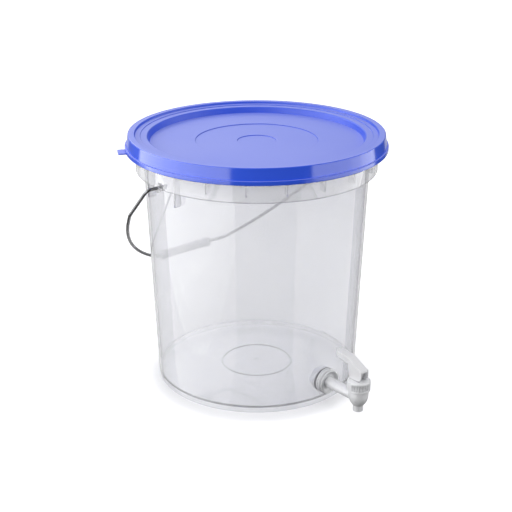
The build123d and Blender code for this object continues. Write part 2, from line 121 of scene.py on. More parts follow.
def plate(name, outline, low, high):
    # a flat outline of (x, y) raised from one height to another
    bm = bmesh.new()
    face = bm.faces.new([bm.verts.new((x, y, low)) for x, y in outline])
    raised = bmesh.ops.extrude_face_region(bm, geom=[face])["geom"]
    verts = [item for item in raised if isinstance(item, bmesh.types.BMVert)]
    bmesh.ops.translate(bm, verts=verts, vec=(0, 0, high - low))
    bmesh.ops.recalc_face_normals(bm, faces=bm.faces)
    return newPiece(name, bm)


def freeze(piece):
    # the result of the modifiers becomes the piece's own plain mesh
    graph = bpy.context.evaluated_depsgraph_get()
    mesh = bpy.data.meshes.new_from_object(piece.evaluated_get(graph))
    piece.modifiers.clear()
    piece.data = mesh
    mesh.name = piece.name
    return piece


def combine(piece, tool, operation):
    step = piece.modifiers.new("combine", "BOOLEAN")
    step.object = tool
    step.operation = operation
    step.solver = "MANIFOLD"
    freeze(piece)
    bpy.data.objects.remove(tool)


def move(piece, matrix):
    piece.data.transform(matrix)
    return piece


def joined(pieces):
    # several separate shells as one object
    bm = bmesh.new()
    for piece in pieces:
        bm.from_mesh(piece.data)
    name = pieces[0].name
    for piece in pieces:
        bpy.data.objects.remove(piece)
    return newPiece(name, bm)


def finishSurface(piece, sharpAngle):
    # round faces shade smooth, edges past the angle stay crisp, and flat faces keep their own direction
    piece.data.shade_smooth()
    piece.data.set_sharp_from_angle(angle=math.radians(sharpAngle))
    weigh = piece.modifiers.new("weigh", "WEIGHTED_NORMAL")
    weigh.keep_sharp = True
    return freeze(piece)


def place(piece, material, body, slot, *nodes):
    piece.data.materials.clear()
    piece.data.materials.append(material)
    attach(piece, body)
    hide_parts(*nodes)
    return piece


# Node trees

def link(tree, output, target):
    tree.links.new(output, target)


def newTree(name, kind, inputs, outputs):
    tree = bpy.data.node_groups.new(name, kind)
    for label, socketType in inputs:
        tree.interface.new_socket(name=label, in_out="INPUT", socket_type=socketType)
    for label, socketType in outputs:
        tree.interface.new_socket(name=label, in_out="OUTPUT", socket_type=socketType)
    return tree, tree.nodes.new("NodeGroupInput"), tree.nodes.new("NodeGroupOutput")


def feed(tree, value, socket):
    # an output is linked to the socket, and a plain value is set on it
    if isinstance(value, bpy.types.NodeSocket):
        link(tree, value, socket)
    else:
        socket.default_value = value


def mathNode(tree, operation, *values):
    node = tree.nodes.new("ShaderNodeMath")
    node.operation = operation
    for socket, value in zip(node.inputs, values):
        feed(tree, value, socket)
    return node.outputs[0]


def vectorNode(tree, operation, *values):
    node = tree.nodes.new("ShaderNodeVectorMath")
    node.operation = operation
    for socket, value in zip(node.inputs, values):
        feed(tree, value, socket)
    return node.outputs["Value" if operation in ("DOT_PRODUCT", "LENGTH", "DISTANCE") else "Vector"]


def rangeNode(tree, value, start, end, low=0, high=1, smooth=False):
    # carries the span from start to end over to the span from low to high, and stops at its ends
    node = tree.nodes.new("ShaderNodeMapRange")
    node.interpolation_type = "SMOOTHSTEP" if smooth else "LINEAR"
    labels = ("Value", "From Min", "From Max", "To Min", "To Max")
    for label, item in zip(labels, (value, start, end, low, high)):
        feed(tree, item, node.inputs[label])
    return node.outputs["Result"]


def noiseNode(tree, vector, scale, detail):
    node = tree.nodes.new("ShaderNodeTexNoise")
    node.inputs["Detail"].default_value = detail
    link(tree, vector, node.inputs["Vector"])
    link(tree, scale, node.inputs["Scale"])
    return node.outputs["Fac"]


def tinted(tree, colour, mask, other):
    # the other colour laid over the first one, as far as the mask says
    blend = tree.nodes.new("ShaderNodeMix")
    blend.data_type = "RGBA"
    feed(tree, mask, blend.inputs["Factor"])
    feed(tree, colour, blend.inputs["A"])
    feed(tree, other, blend.inputs["B"])
    return blend.outputs["Result"]


def axes(tree, vector):
    split = tree.nodes.new("ShaderNodeSeparateXYZ")
    link(tree, vector, split.inputs[0])
    return split.outputs["X"], split.outputs["Y"], split.outputs["Z"]


def levelled(tree, vector):
    # the vector without its height
    return vectorNode(tree, "MULTIPLY", vector, (1, 1, 0))


def runTree(piece, tree, values):
    # sets a Geometry Nodes tree's inputs by their identifiers and keeps the result
    step = piece.modifiers.new(tree.name, "NODES")
    step.node_group = tree
    for item in tree.interface.items_tree:
        if item.in_out == "INPUT" and item.name in values:
            step[item.identifier] = values[item.name]
    return freeze(piece)


# Shader groups

grainSizes = {"broadDetail": 3, "fineDetail": 2, "toneFrom": 0.3, "toneTo": 0.7}
scuffSizes = {
    "turns": (0.5, 2.1),             # radians, for the two directions of the scratches
    "turnShares": (1, 0.7, 1.3),     # of that about each axis
    "detail": 4,
    "maskFrom": 0.62,
    "maskTo": 0.72,
}
creaseSamples = 8


def makeGrainGroup():
    # slow changes of tone and a fine moulded grain, for every plastic
    tree, source, target = newTree(
        "mouldedGrain",
        "ShaderNodeTree",
        [("Broad Scale", "NodeSocketFloat"), ("Fine Scale", "NodeSocketFloat")],
        [("Tone", "NodeSocketFloat"), ("Height", "NodeSocketFloat")],
    )
    spot = tree.nodes.new("ShaderNodeTexCoord").outputs["Object"]
    broad = noiseNode(tree, spot, source.outputs["Broad Scale"], grainSizes["broadDetail"])
    fine = noiseNode(tree, spot, source.outputs["Fine Scale"], grainSizes["fineDetail"])
    tone = rangeNode(tree, broad, grainSizes["toneFrom"], grainSizes["toneTo"])
    link(tree, tone, target.inputs["Tone"])
    link(tree, fine, target.inputs["Height"])
    return tree


def makeScuffGroup():
    # sparse hair scratches from handling, where either of two stretched noises is high
    tree, source, target = newTree(
        "handlingScuffs",
        "ShaderNodeTree",
        [("Scale", "NodeSocketFloat"), ("Stretch", "NodeSocketFloat")],
        [("Mask", "NodeSocketFloat")],
    )
    size = scuffSizes
    spot = tree.nodes.new("ShaderNodeTexCoord").outputs["Object"]
    stretch = tree.nodes.new("ShaderNodeCombineXYZ")
    for socket, value in zip(stretch.inputs, (source.outputs["Stretch"], 1, 1)):
        feed(tree, value, socket)
    masks = []
    for turn in size["turns"]:
        turned = tree.nodes.new("ShaderNodeVectorRotate")
        turned.rotation_type = "EULER_XYZ"
        turned.inputs["Rotation"].default_value = [turn * share for share in size["turnShares"]]
        link(tree, spot, turned.inputs["Vector"])
        drawn = vectorNode(tree, "MULTIPLY", turned.outputs["Vector"], stretch.outputs["Vector"])
        noise = noiseNode(tree, drawn, source.outputs["Scale"], size["detail"])
        masks.append(rangeNode(tree, noise, size["maskFrom"], size["maskTo"]))
    link(tree, mathNode(tree, "MAXIMUM", *masks), target.inputs["Mask"])
    return tree


def makeCreaseGroup():
    # a mask from ambient occlusion that is high in grooves and where pieces meet, for the painted shade
    # that gathers there
    tree, source, target = newTree(
        "creaseShade",
        "ShaderNodeTree",
        [("Reach", "NodeSocketFloat"), ("Depth", "NodeSocketFloat")],
        [("Mask", "NodeSocketFloat")],
    )
    openness = tree.nodes.new("ShaderNodeAmbientOcclusion")
    openness.samples = creaseSamples
    link(tree, source.outputs["Reach"], openness.inputs["Distance"])
    closed = mathNode(tree, "SUBTRACT", 1, openness.outputs["AO"])
    link(tree, mathNode(tree, "MULTIPLY", closed, source.outputs["Depth"]), target.inputs["Mask"])
    return tree


grainGroup = makeGrainGroup()
scuffGroup = makeScuffGroup()
creaseGroup = makeCreaseGroup()


def addGroup(tree, group, values):
    node = tree.nodes.new("ShaderNodeGroup")
    node.node_tree = group
    for label, value in values.items():
        node.inputs[label].default_value = value
    return node


def newMaterial(name):
    material = bpy.data.materials.new(name)
    material.use_nodes = True
    tree = material.node_tree
    tree.nodes.clear()
    output = tree.nodes.new("ShaderNodeOutputMaterial")
    surface = tree.nodes.new("ShaderNodeBsdfPrincipled")
    link(tree, surface.outputs["BSDF"], output.inputs["Surface"])
    return material, tree, surface, output


facing = {
    "upFrom": 0.9,      # upright part of a face's direction
    "upTo": 0.99,
    "inFrom": 20.0,     # millimetres from the axis, nearer walls are left out
}


def facingUp(tree):
    # one where a face looks straight up, as on the satin panel of the lid, and zero on its sides
    normal = tree.nodes.new("ShaderNodeTexCoord").outputs["Normal"]
    return rangeNode(tree, axes(tree, normal)[2], facing["upFrom"], facing["upTo"])


def facingIn(tree):
    # one where a face looks towards the upright axis, as the walls of the lid's well do
    coordinates = tree.nodes.new("ShaderNodeTexCoord")
    level = levelled(tree, coordinates.outputs["Object"])
    outward = vectorNode(tree, "DOT_PRODUCT", level, coordinates.outputs["Normal"])
    return mathNode(tree, "LESS_THAN", outward, -facing["inFrom"] * mm)


def mouldedFinish(name, look):
    # tone, gloss and grain of one plastic, rubber or metal, with painted shade in creases and, on the lid,
    # painted sheen and shade
    material, tree, surface, output = newMaterial(name)
    grain = addGroup(tree, grainGroup, {"Broad Scale": look["broadScale"], "Fine Scale": look["fineScale"]})
    scuffs = addGroup(tree, scuffGroup, {"Scale": look["scuffScale"], "Stretch": look["scuffStretch"]})
    tone = grain.outputs["Tone"]
    colour = tinted(tree, (*look["shade"], 1), tone, (*look["tint"], 1))
    scuffed = mathNode(tree, "MULTIPLY", scuffs.outputs["Mask"], look["scuffGain"])
    gloss = mathNode(tree, "MULTIPLY_ADD", tone, look["roughSpread"], look["roughness"])
    rough = mathNode(tree, "ADD", gloss, scuffed)
    if "satin" in look:
        upward = facingUp(tree)
        inward = facingIn(tree)
        # painted shade: the walls round the lid's well get a darker blue
        colour = tinted(tree, colour, inward, (*look["paintedWallShade"], 1))
        # painted sheen: faces that look up get a paler blue
        colour = tinted(tree, colour, upward, (*look["satinColour"], 1))
        rough = mathNode(tree, "MULTIPLY_ADD", upward, look["satin"], rough)
        rough = mathNode(tree, "MULTIPLY_ADD", inward, look["wallSatin"], rough)
    # painted shade: grooves, joints and hollows are darkened in the base colour where little light reaches
    if "creaseShadeDepth" in look:
        values = {"Reach": look["creaseReach"] * mm, "Depth": look["creaseShadeDepth"]}
        paintedCreaseShade = addGroup(tree, creaseGroup, values).outputs["Mask"]
        colour = tinted(tree, colour, paintedCreaseShade, (*look["creaseShadeColour"], 1))
    link(tree, colour, surface.inputs["Base Color"])
    link(tree, rough, surface.inputs["Roughness"])
    bump = tree.nodes.new("ShaderNodeBump")
    bump.inputs["Strength"].default_value = look["bump"]
    bump.inputs["Distance"].default_value = look["bumpDepth"] * mm
    link(tree, grain.outputs["Height"], bump.inputs["Height"])
    link(tree, bump.outputs["Normal"], surface.inputs["Normal"])
    surface.inputs["Metallic"].default_value = look["metallic"]
    surface.inputs["IOR"].default_value = look["ior"]
    surface.inputs["Specular IOR Level"].default_value = look["specular"]
    return material, tree, surface, output


plainLook = {
    "shade": (0.8, 0.8, 0.81),
    "tint": (0.84, 0.84, 0.85),
    "broadScale": 22,
    "fineScale": 900,
    "scuffScale": 90,
    "scuffStretch": 0.06,
    "scuffGain": 0.08,
    "roughness": 0.28,
    "roughSpread": 0.06,
    "bump": 0.12,
    "bumpDepth": 0.05,        # millimetres, like creaseReach, edgeHeight and edgeInset
    "metallic": 0,
    "ior": 1.49,
    "specular": 0.5,
}
lidLook = {
    **plainLook,
    "shade": (0.038, 0.108, 0.79),
    "tint": (0.042, 0.116, 0.82),
    "broadScale": 9,
    "roughness": 0.1,
    "roughSpread": 0.05,
    "satin": 0.4,             # roughness added where the lid faces up
    # painted sheen: a paler blue where the lid faces up, standing in for light scattered off its matte top
    "satinColour": (0.2, 0.26, 0.85),
    "wallSatin": 0.34,        # and on the walls round its well
    # painted shade: a darker blue on the walls round the well, where less light falls
    "paintedWallShade": (0.018, 0.085, 0.68),
    "scuffGain": 0.02,
    "bump": 0.05,
    "specular": 1.0,
    # painted shade in the hollows and corners of the lid
    "creaseReach": 3.0,
    "creaseShadeDepth": 0.25,
    "creaseShadeColour": (0.015, 0.05, 0.4),
}
# painted shade in grooves and where pieces meet, darkened in the base colour
creaseShadedLook = {**plainLook, "creaseReach": 1.6, "creaseShadeDepth": 0.8, "creaseShadeColour": (0.25, 0.25, 0.27)}
tapLook = {
    **creaseShadedLook,
    "shade": (0.8, 0.805, 0.825),
    "tint": (0.83, 0.835, 0.855),
    "roughness": 0.2,
    "specular": 0.8,
}
leverLook = {**creaseShadedLook, "shade": (0.78, 0.78, 0.8), "tint": (0.81, 0.81, 0.83), "specular": 0.6}
gripLook = {**plainLook, "shade": (0.72, 0.725, 0.735), "tint": (0.78, 0.785, 0.79), "roughness": 0.36}
rubberLook = {**creaseShadedLook, "shade": (0.76, 0.76, 0.775), "tint": (0.82, 0.82, 0.835), "roughness": 0.5}
wireLook = {
    **plainLook,
    "shade": (0.22, 0.22, 0.23),
    "tint": (0.3, 0.3, 0.31),
    "broadScale": 60,
    "fineScale": 1600,
    "scuffScale": 260,
    "roughness": 0.16,
    "roughSpread": 0.1,
    "metallic": 1,
}
springLook = {**wireLook, "roughness": 0.24}
clearLook = {
    **plainLook,
    "shade": (0.862, 0.863, 0.875),
    "tint": (0.882, 0.883, 0.893),
    "broadScale": 14,
    "fineScale": 260,
    "scuffScale": 40,
    "scuffStretch": 0.05,
    "scuffGain": 0.05,
    "roughness": 0.02,
    "roughSpread": 0.015,
    "bump": 0.005,
    "transmission": 0.8,
    "shadowTint": (0.89, 0.895, 0.91),
    # painted shade on the webs and the collar's lower edge
    "edgeShadeColour": (0.54, 0.54, 0.555),
    "edgeHeight": 0.9,
    "edgeInset": 0.3,
}


def makeClearPlastic():
    # lamps shine straight through, so the walls throw only a faint shadow
    material, tree, surface, output = mouldedFinish("clearPlastic", clearLook)
    surface.inputs["Transmission Weight"].default_value = clearLook["transmission"]
    plain = surface.inputs["Base Color"].links[0].from_socket
    # painted shade on the webs and the collar's lower edge
    edgeShaded = tinted(tree, plain, edgeShadeMask(tree), (*clearLook["edgeShadeColour"], 1))
    link(tree, edgeShaded, surface.inputs["Base Color"])
    path = tree.nodes.new("ShaderNodeLightPath")
    through = tree.nodes.new("ShaderNodeBsdfTransparent")
    through.inputs["Color"].default_value = (*clearLook["shadowTint"], 1)
    choose = tree.nodes.new("ShaderNodeMixShader")
    link(tree, path.outputs["Is Shadow Ray"], choose.inputs["Fac"])
    link(tree, surface.outputs["BSDF"], choose.inputs[1])
    link(tree, through.outputs["BSDF"], choose.inputs[2])
    link(tree, choose.outputs["Shader"], output.inputs["Surface"])
    return material


lidPlastic = mouldedFinish("lidPlastic", lidLook)[0]
tapPlastic = mouldedFinish("tapPlastic", tapLook)[0]
leverPlastic = mouldedFinish("leverPlastic", leverLook)[0]
gripPlastic = mouldedFinish("gripPlastic", gripLook)[0]
sealRubber = mouldedFinish("sealRubber", rubberLook)[0]
wireSteel = mouldedFinish("wireSteel", wireLook)[0]
springSteel = mouldedFinish("springSteel", springLook)[0]
print("finishes made")


# Bucket: sizes from here to the grip are in millimetres and degrees

bucketSizes = {
    "baseRadius": 127.0,
    "draft": 2.3,
    "wall": 1.8,
    "footHeight": 6.5,
    "footWall": 2.6,
    "footRoot": 1.2,
    "footEdge": 0.7,
    "baseRound": 1.5,
    "floor": 2.3,
    "floorRound": 1.6,
    "ringRadius": 44.6,
    "ringWidth": 1.8,
    "ringHeight": 1.0,
    "ringRoot": 0.3,
    "ringEdge": 0.4,
    "gateRadius": 4.0,
    "gateStep": 0.5,
    "gateEdge": 0.2,
    "rim": 2.4,
    "rimRound": 0.8,
    "lip": 2.0,
    "lipDepth": 9.0,
    "lipEdge": 0.6,
    "collarInset": 5.4,
    "collar": 1.6,
    "collarDepth": 38.5,
    "collarEdge": 0.5,
    "segments": 256,
    "sharpAngle": 28,
}
webSizes = {
    "count": 20,
    "thickness": 1.4,
    "rise": 7.0,
    "finThickness": 1.8,
    "finDrop": 16.5,
    "finAngle": 10.0,
}
earSizes = {"lugRadius": 5.8, "lugHeight": 2.0, "boreRadius": 2.08, "sides": 48}
tapHole = {"height": 30.5, "radius": 10.15, "reach": 7.2, "sides": 64}
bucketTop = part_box("bucket")[1].z / mm
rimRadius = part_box("bucket")[1].y / mm
pivotHeight = joints["bail_swing"]["pos_m"][2] / mm
collarRadius = rimRadius - bucketSizes["collarInset"]
collarInner = collarRadius - bucketSizes["collar"]
collarBottom = bucketTop - bucketSizes["collarDepth"]


def edgeShadeMask(tree):
    # painted shade: webs and the collar's lower edge are darkened in the base colour, as clear plastic met
    # end on looks darker
    spot = tree.nodes.new("ShaderNodeTexCoord").outputs["Object"]
    x, y, z = axes(tree, spot)
    reach = vectorNode(tree, "LENGTH", levelled(tree, spot))
    half = math.pi / webSizes["count"]
    turn = mathNode(tree, "ARCTAN2", y, x)
    offset = mathNode(tree, "WRAP", mathNode(tree, "SUBTRACT", turn, half), half, -half)
    apart = mathNode(tree, "ABSOLUTE", offset)
    web = mathNode(tree, "LESS_THAN", apart, webSizes["thickness"] / 2 / collarRadius)
    high = mathNode(tree, "GREATER_THAN", z, (collarBottom + webSizes["rise"]) * mm)
    aside = mathNode(tree, "ABSOLUTE", y)
    clear = mathNode(tree, "GREATER_THAN", aside, collarRadius * math.sin(2 * half) * mm)
    web = mathNode(tree, "MULTIPLY", web, mathNode(tree, "MULTIPLY", high, clear))
    edge = mathNode(tree, "LESS_THAN", z, (collarBottom + clearLook["edgeHeight"]) * mm)
    outside = mathNode(tree, "GREATER_THAN", reach, (collarInner - clearLook["edgeInset"]) * mm)
    return mathNode(tree, "MULTIPLY", mathNode(tree, "MAXIMUM", web, edge), outside)


clearPlastic = makeClearPlastic()


def wallRadius(height):
    return bucketSizes["baseRadius"] + height * math.tan(math.radians(bucketSizes["draft"]))


def bucketOutline():
    size = bucketSizes
    floorLevel = size["footHeight"] + size["floor"]
    ringLevel = floorLevel + size["ringHeight"]
    ringOuter = size["ringRadius"] + size["ringWidth"] / 2
    ringInner = size["ringRadius"] - size["ringWidth"] / 2
    gateLevel = floorLevel - size["gateStep"]
    rimUnder = bucketTop - size["rim"]
    lipInner = rimRadius - size["lip"]
    lipBottom = bucketTop - size["lipDepth"]
    footInner = size["baseRadius"] - size["footWall"]
    wall = size["wall"]
    return roundedOutline([
        (0, size["footHeight"], 0),
        (footInner, size["footHeight"], size["footRoot"]),
        (footInner, 0, size["footEdge"]),
        (size["baseRadius"], 0, size["baseRound"]),
        (wallRadius(rimUnder), rimUnder, size["rimRound"]),
        (collarInner, rimUnder, size["rimRound"]),
        (collarInner, collarBottom, size["collarEdge"]),
        (collarRadius, collarBottom, size["collarEdge"]),
        (collarRadius, rimUnder, size["rimRound"]),
        (lipInner, rimUnder, size["lipEdge"]),
        (lipInner, lipBottom, size["lipEdge"]),
        (rimRadius, lipBottom, size["lipEdge"]),
        (rimRadius, bucketTop, size["rimRound"]),
        (wallRadius(bucketTop) - wall, bucketTop, size["rimRound"]),
        (wallRadius(floorLevel) - wall, floorLevel, size["floorRound"]),
        (ringOuter, floorLevel, size["ringRoot"]),
        (ringOuter, ringLevel, size["ringEdge"]),
        (ringInner, ringLevel, size["ringEdge"]),
        (ringInner, floorLevel, size["ringRoot"]),
        (size["gateRadius"], floorLevel, size["gateEdge"]),
        (size["gateRadius"], gateLevel, size["gateEdge"]),
        (0, gateLevel, 0),
    ])


def webPlate(name, bottom, thickness):
    # one upright plate from the wall to the collar, in the plane of the X axis
    top = bucketTop - bucketSizes["rim"] / 2
    inside = bucketSizes["wall"] / 2
    outer = collarRadius - bucketSizes["collar"] / 2
    outline = [
        (wallRadius(bottom) - inside, bottom),
        (outer, bottom),
        (outer, top),
        (wallRadius(top) - inside, top),
    ]
    piece = plate(name, [(x * mm, y * mm) for x, y in outline], -thickness * mm / 2, thickness * mm / 2)
    return move(piece, Matrix.Rotation(quarterTurn, 4, "X"))


def makeSpokeTree():
    # copies of a plate round the upright axis, left out near the two ears
    tree, source, target = newTree(
        "collarSpokes",
        "GeometryNodeTree",
        [
            ("Plate", "NodeSocketObject"),
            ("Count", "NodeSocketInt"),
            ("Start", "NodeSocketFloat"),
            ("Ear Gap", "NodeSocketFloat"),
            ("Finish", "NodeSocketMaterial"),
        ],
        [("Geometry", "NodeSocketGeometry")],
    )
    points = tree.nodes.new("GeometryNodePoints")
    shape = tree.nodes.new("GeometryNodeObjectInfo")
    index = tree.nodes.new("GeometryNodeInputIndex")
    spread = tree.nodes.new("GeometryNodeInstanceOnPoints")
    turn = tree.nodes.new("ShaderNodeCombineXYZ")
    toRotation = tree.nodes.new("FunctionNodeEulerToRotation")
    keep = tree.nodes.new("FunctionNodeCompare")
    keep.operation = "GREATER_EQUAL"
    realize = tree.nodes.new("GeometryNodeRealizeInstances")
    paint = tree.nodes.new("GeometryNodeSetMaterial")
    pitch = mathNode(tree, "DIVIDE", 360, source.outputs["Count"])
    angle = mathNode(tree, "MULTIPLY_ADD", index.outputs[0], pitch, source.outputs["Start"])
    earDistance = mathNode(tree, "ABSOLUTE", mathNode(tree, "WRAP", angle, 90, -90))
    link(tree, earDistance, keep.inputs[0])
    link(tree, source.outputs["Ear Gap"], keep.inputs[1])
    link(tree, mathNode(tree, "RADIANS", angle), turn.inputs[2])
    link(tree, turn.outputs[0], toRotation.inputs[0])
    link(tree, source.outputs["Count"], points.inputs["Count"])
    link(tree, source.outputs["Plate"], shape.inputs["Object"])
    link(tree, points.outputs[0], spread.inputs["Points"])
    link(tree, keep.outputs[0], spread.inputs["Selection"])
    link(tree, shape.outputs["Geometry"], spread.inputs["Instance"])
    link(tree, toRotation.outputs[0], spread.inputs["Rotation"])
    link(tree, spread.outputs[0], realize.inputs[0])
    link(tree, realize.outputs[0], paint.inputs["Geometry"])
    link(tree, source.outputs["Finish"], paint.inputs["Material"])
    link(tree, paint.outputs[0], target.inputs[0])
    return tree


spokeTree = makeSpokeTree()


def spokes(name, shape, count, start, earGap):
    ring = newPiece(name, bmesh.new())
    values = {"Plate": shape, "Count": count, "Start": start, "Ear Gap": earGap, "Finish": clearPlastic}
    return runTree(ring, spokeTree, values)


def rodAlongX(name, radius, start, end, sides):
    # a round bar along the bail's pivot axis
    outline = [(0, start * mm), (radius * mm, start * mm), (radius * mm, end * mm), (0, end * mm)]
    rod = move(revolved(name, outline, sides), Matrix.Rotation(quarterTurn, 4, "Y"))
    return move(rod, Matrix.Translation((0, 0, pivotHeight * mm)))


def twinned(piece):
    # the piece and its twin, turned half round the upright axis
    twin = newPiece(piece.name + "Twin", bmesh.new())
    twin.data = piece.data.copy()
    move(twin, Matrix.Rotation(math.pi, 4, "Z"))
    return joined([piece, twin])


def makeBucket():
    shell = revolved("bucketShell", bucketOutline(), bucketSizes["segments"])
    web = webPlate("webPlate", collarBottom + webSizes["rise"], webSizes["thickness"])
    fin = webPlate("finPlate", collarBottom - webSizes["finDrop"], webSizes["finThickness"])
    pitch = 360 / webSizes["count"]
    ribs = [
        spokes("collarWebs", web, webSizes["count"], pitch / 2, webSizes["finAngle"]),
        spokes("earFinsLeft", fin, 2, webSizes["finAngle"], 0),
        spokes("earFinsRight", fin, 2, -webSizes["finAngle"], 0),
    ]
    for shape in (web, fin):
        bpy.data.objects.remove(shape)
    lugEnd = collarRadius + earSizes["lugHeight"]
    lugs = twinned(rodAlongX("earLugs", earSizes["lugRadius"], collarInner, lugEnd, earSizes["sides"]))
    combine(shell, joined(ribs), "UNION")
    combine(shell, lugs, "UNION")
    boreStart = wallRadius(pivotHeight) + bucketSizes["wall"]
    bores = twinned(rodAlongX("earBores", earSizes["boreRadius"], boreStart, rimRadius, earSizes["sides"]))
    combine(shell, bores, "DIFFERENCE")
    reach = wallRadius(tapHole["height"])
    radius = tapHole["radius"] * mm
    low = (reach - tapHole["reach"]) * mm
    high = (reach + tapHole["reach"]) * mm
    hole = revolved("tapHole", [(0, low), (radius, low), (radius, high), (0, high)], tapHole["sides"])
    move(hole, Matrix.Translation((0, 0, tapHole["height"] * mm)) @ Matrix.Rotation(quarterTurn, 4, "X"))
    combine(shell, hole, "DIFFERENCE")
    finishSurface(shell, bucketSizes["sharpAngle"])
    return place(shell, clearPlastic, "bucket", "clear_plastic", "bucket")


bucketShell = makeBucket()
print("bucket made:", len(bucketShell.data.polygons), "faces")


# Lid

lidSizes = {
    "thickness": 2.0,
    "clearance": 0.9,
    "skirtDepth": 19.5,
    "skirtFoot": 0.7,
    "flare": 8.0,
    "beadDepth": 5.2,
    "beadHeight": 1.2,
    "beadFall": 0.15,
    "beadRoot": 0.3,
    "beadEdge": 0.4,
    "beadFoot": 1.0,
    "rimWidth": 8.0,
    "rimEdge": 1.2,
    "channelRound": 0.5,
    "stepSlope": 0.8,
    "stepThickness": 1.4,
    "stepRoot": 0.3,
    "stepEdge": 0.5,
    "ledgeGap": 0.6,
    "ledgeWidth": 9.0,
    "ledgeStep": 0.8,
    "ledgeEdge": 0.35,
    "wellGap": 3.8,
    "wellSlope": 14.0,
    "wellDepth": 7.6,
    "wellEdge": 2.0,
    "wellFoot": 0.8,
    "wellUnderEdge": 0.6,
    "wellUnderFoot": 0.9,
    "ringRadius": 74.7,
    "bossRadius": 23.6,
    "ringStep": 0.9,
    "ringEdge": 0.4,
    "ringUnderEdge": 0.3,
    "segments": 288,
    "sharpAngle": 28,
}
tabSizes = {
    "angle": 150.0,
    "length": 9.0,
    "width": 19.0,
    "thickness": 1.6,
    "round": 2.0,
    "edge": 0.4,
    "edgeSegments": 2,
}


def lidOutline():
    size = lidSizes
    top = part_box("lid")[1].z / mm
    bottom = top - size["skirtDepth"]
    channelTop = top - size["thickness"]
    inner = rimRadius + size["clearance"]
    flare = math.tan(math.radians(size["flare"]))
    slope = math.tan(math.radians(size["wellSlope"]))
    ledgeUnder = bucketTop + size["ledgeGap"]
    ledge = ledgeUnder + size["thickness"]
    innerLedge = ledge - size["ledgeStep"]
    panel = innerLedge - size["wellDepth"]
    under = panel - size["thickness"]
    wellWall = size["thickness"] / math.cos(math.radians(size["wellSlope"]))
    wellOuterTop = wallRadius(bucketTop) - bucketSizes["wall"] - size["wellGap"]
    wellOuterBottom = wellOuterTop - (ledgeUnder - under) * slope
    wellTop = wellOuterTop - wellWall + (innerLedge - ledgeUnder) * slope
    wellBottom = wellTop - size["wellDepth"] * slope
    step = size["ringStep"]

    def skirtOuter(height):
        return inner + size["thickness"] + (top - height) * flare

    def skirtInner(height):
        return inner + (channelTop - height) * flare

    reach = skirtOuter(bottom) + size["beadHeight"]
    beadTop = bottom + size["beadDepth"]
    rimInner = skirtOuter(top) - size["rimWidth"]
    channelInner = rimInner + size["stepThickness"]
    outline = roundedOutline([
        (0, panel - 2 * step, 0),
        (size["bossRadius"], panel - 2 * step, size["ringEdge"]),
        (size["bossRadius"], panel - step, size["ringEdge"]),
        (size["ringRadius"], panel - step, size["ringEdge"]),
        (size["ringRadius"], panel, size["ringEdge"]),
        (wellBottom, panel, size["wellFoot"]),
        (wellTop, innerLedge, size["wellEdge"]),
        (wellTop + size["ledgeWidth"], innerLedge, size["ledgeEdge"]),
        (wellTop + size["ledgeWidth"], ledge, size["ledgeEdge"]),
        (rimInner - size["stepSlope"], ledge, size["stepRoot"]),
        (rimInner, top, size["stepEdge"]),
        (skirtOuter(top), top, size["rimEdge"]),
        (skirtOuter(beadTop), beadTop, size["beadRoot"]),
        (reach, beadTop - size["beadFall"], size["beadEdge"]),
        (reach, bottom, size["beadFoot"]),
        (skirtInner(bottom), bottom, size["skirtFoot"]),
        (skirtInner(channelTop), channelTop, size["channelRound"]),
        (channelInner, channelTop, size["channelRound"]),
        (channelInner, ledgeUnder, size["stepRoot"]),
        (wellOuterTop, ledgeUnder, size["wellUnderEdge"]),
        (wellOuterBottom, under, size["wellUnderFoot"]),
        (size["ringRadius"], under, size["ringUnderEdge"]),
        (size["ringRadius"], under - step, size["ringUnderEdge"]),
        (size["bossRadius"], under - step, size["ringUnderEdge"]),
        (size["bossRadius"], under - 2 * step, size["ringUnderEdge"]),
        (0, under - 2 * step, 0),
    ])
    return outline, reach, bottom


def makeLid():
    outline, reach, bottom = lidOutline()
    disc = revolved("lidDisc", outline, lidSizes["segments"])
    tab = tabSizes
    root = reach - lidSizes["beadHeight"]
    tip = reach + tab["length"]
    half = tab["width"] / 2
    corners = [(root, -half, 0), (tip, -half, tab["round"]), (tip, half, tab["round"]), (root, half, 0)]
    tabOutline = roundedOutline(corners, True)
    tabPlate = plate("pullTab", tabOutline, bottom * mm, (bottom + tab["thickness"]) * mm)
    move(tabPlate, Matrix.Rotation(math.radians(tab["angle"]), 4, "Z"))
    soften = tabPlate.modifiers.new("soften", "BEVEL")
    soften.width = tab["edge"] * mm
    soften.segments = tab["edgeSegments"]
    soften.limit_method = "ANGLE"
    freeze(tabPlate)
    combine(disc, tabPlate, "UNION")
    finishSurface(disc, lidSizes["sharpAngle"])
    return place(disc, lidPlastic, "lid", "lid_plastic", "lid")


lidDisc = makeLid()
print("lid made:", len(lidDisc.data.polygons), "faces")


# Bail and grip

bailSizes = {
    "wireRadius": 2.0,
    "legDrop": 55.0,
    "legBend": 20.0,
    "bowInset": 27.0,
    "bowRise": 56.0,
    "bowShare": 0.9,
    "kinkSpan": 60.5,
    "kinkBend": 12.0,
    "earBend": 6.0,
    "bendSteps": 10,
    "headRadius": 3.8,
    "headLength": 2.2,
    "headGap": 1.5,
    "headRound": 0.5,
    "headEdge": 0.3,
    "headSides": 48,
    "sides": 20,
    "sharpAngle": 35,
}
gripSizes = {
    "length": 85.0,
    "radius": 5.75,
    "collarRadius": 6.75,
    "collarLength": 6.0,
    "collarRound": 1.5,
    "taperLength": 4.0,
    "waistRound": 3.0,
    "endRound": 1.2,
    "boreRadius": 2.08,
    "boreEdge": 0.3,
    "segments": 64,
    "sharpAngle": 35,
}
pivotPoint = Vector(joints["bail_swing"]["pos_m"])
gripPoint = Vector(joints["grip_spin"]["pos_m"])
bailMiddle = Vector((pivotPoint.x, gripPoint.y, gripPoint.z))


